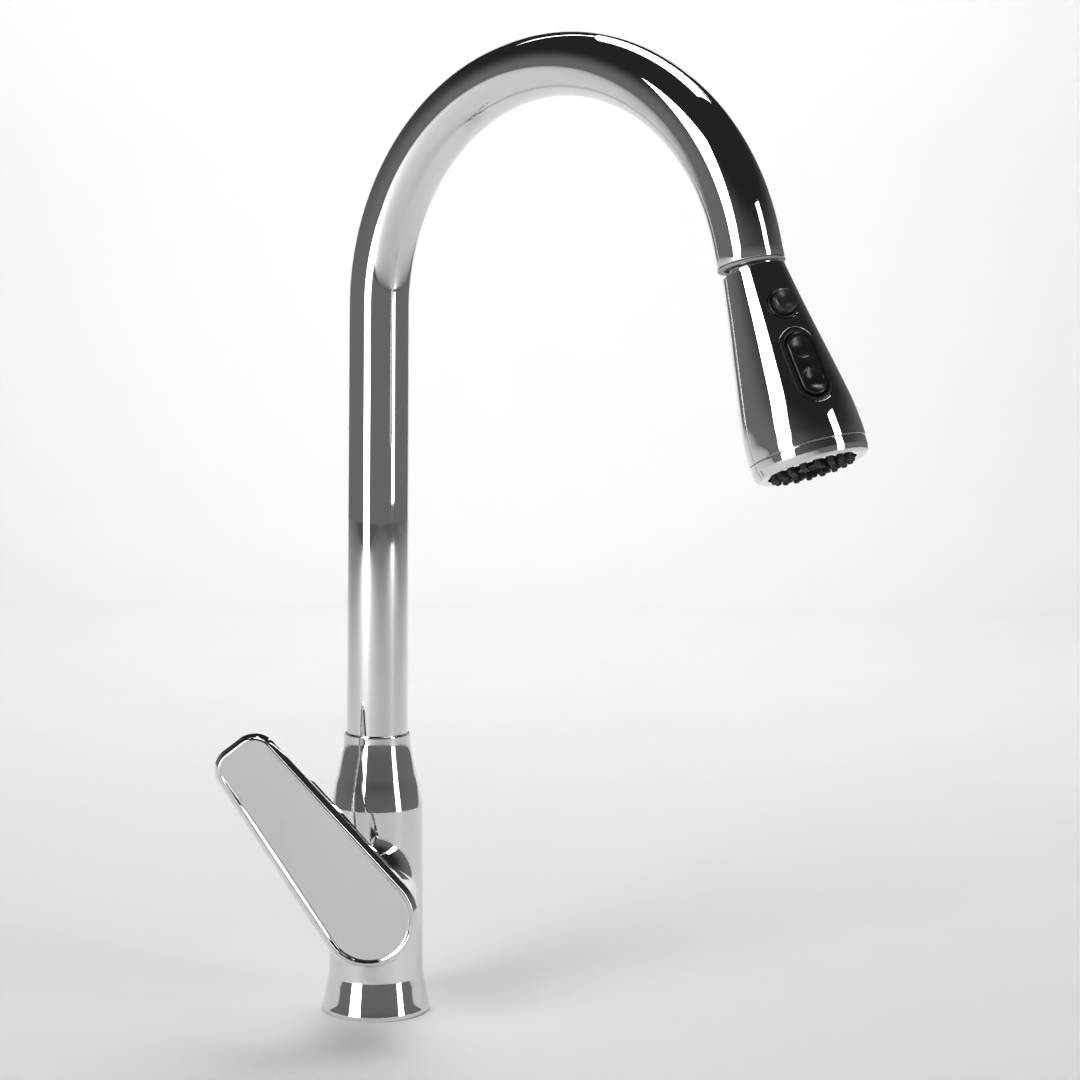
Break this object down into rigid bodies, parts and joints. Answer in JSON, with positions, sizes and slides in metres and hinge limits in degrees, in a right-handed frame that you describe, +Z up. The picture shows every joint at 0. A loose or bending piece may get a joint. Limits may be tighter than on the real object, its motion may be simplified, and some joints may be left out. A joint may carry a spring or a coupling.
{
  "type": "pull down kitchen faucet",
  "caption": "Single-lever kitchen sink faucet with a swivelling gooseneck spout and a pull-down spray head, deck mounted.",
  "frame": {"origin": "centre of the foot where it meets the worktop", "axes": "+Z up along the riser, -Y towards the user, along the axis that the lever turns on"},
  "size_m": [0.2767, 0.2009, 0.5273],
  "materials": {
    "chrome": "polished",
    "brass": "machined",
    "steel": "turned",
    "black_plastic": "satin moulded",
    "grey_plastic": "satin moulded",
    "white_plastic": "moulded",
    "black_rubber": "matt moulded",
    "ceramic": "lapped",
    "hose_braid": "woven braid under a clear sleeve"
  },
  "bodies": {
    "faucet_body": {"valve_body": "chrome", "base_gasket": "black_rubber", "threaded_shank": "brass", "rubber_washer": "black_rubber", "steel_washer": "steel", "mounting_nut": "brass", "cartridge_seal": "black_rubber", "cartridge_base": "white_plastic", "ceramic_fixed_disc": "ceramic", "cartridge_housing": "white_plastic", "bonnet_nut": "brass", "dome_cap": "chrome", "spout_grub_screw": "steel"},
    "cartridge_rotor": {"cartridge_turret": "black_plastic", "stem_pin": "steel"},
    "disc_slider": {"disc_driver": "black_plastic", "ceramic_moving_disc": "ceramic"},
    "lever": {"valve_stem": "steel", "lever_handle": "chrome", "lever_set_screw": "steel", "set_screw_plug": "black_rubber"},
    "spout": {"gooseneck_tube": "chrome", "swivel_sleeve": "brass", "sleeve_o_ring_upper": "black_rubber", "sleeve_o_ring_lower": "black_rubber", "glide_washer": "white_plastic", "docking_ring": "grey_plastic", "spray_hose": "hose_braid", "hose_supply_nut": "brass"},
    "hose_end": {"hose_head_fitting": "brass"},
    "spray_head": {"head_neck": "chrome", "head_shell": "chrome", "check_valve": "white_plastic", "waterway_core": "black_plastic", "pause_bezel": "black_plastic", "pause_spring": "steel", "rocker_bezel": "black_plastic", "rocker_pin": "steel", "face_o_ring": "black_rubber", "face_ring": "chrome", "nozzle_plate": "black_plastic", "spray_nozzles": "black_rubber", "aerator_insert": "black_plastic"},
    "pause": {"pause_button": "black_plastic"},
    "rocker": {"spray_rocker": "black_plastic"},
    "spool": {"diverter_spool": "steel"}
  },
  "joints": [
    {"name": "spout_swivel", "type": "hinge", "parent": "faucet_body", "child": "spout", "pos_m": [0, 0, 0.104], "axis": [0, 0, 1], "continuous": true},
    {"name": "lever_temperature", "type": "hinge", "parent": "faucet_body", "child": "cartridge_rotor", "pos_m": [0, -0.032, 0.056], "axis": [0, -1, 0], "range_deg": [-83, 7]},
    {"name": "lever_flow", "type": "hinge", "parent": "cartridge_rotor", "child": "lever", "pos_m": [0, -0.032, 0.056], "axis": [0.788, 0, 0.6157], "range_deg": [0, 22]},
    {"name": "disc_slide", "type": "slide", "parent": "cartridge_rotor", "child": "disc_slider", "axis": [-0.6157, 0, 0.788], "range_m": [0, 0.0036]},
    {"name": "pull_down", "type": "slide", "parent": "spout", "child": "hose_end", "axis": [0.2765, -0.228, -0.9336], "range_m": [0, 0.24], "stiffness_N_per_m": 30, "springref_m": -0.2},
    {"name": "head_spin", "type": "hinge", "parent": "hose_end", "child": "spray_head", "pos_m": [0.16053, -0.13233, 0.3497], "axis": [0.2765, -0.228, -0.9336], "continuous": true},
    {"name": "pause_press", "type": "slide", "parent": "spray_head", "child": "pause", "axis": [-0.2557, 0.8497, -0.4611], "range_m": [0, 0.0018], "stiffness_N_per_m": 800, "springref_m": -0.001, "deforming": ["pause_spring"]},
    {"name": "rocker_tilt", "type": "hinge", "parent": "spray_head", "child": "rocker", "pos_m": [0.17991, -0.15991, 0.30828], "axis": [-0.911, -0.3713, -0.1792], "range_deg": [-6, 6]},
    {"name": "spool_slide", "type": "slide", "parent": "spray_head", "child": "spool", "axis": [0.2765, -0.228, -0.9336], "range_m": [-0.0008, 0.0008]}
  ],
  "couplings": [
    {"joint": "disc_slide", "follows": "lever_flow", "m_per_rad": 0.0093},
    {"joint": "spool_slide", "follows": "rocker_tilt", "m_per_rad": 0.0071}
  ]
}
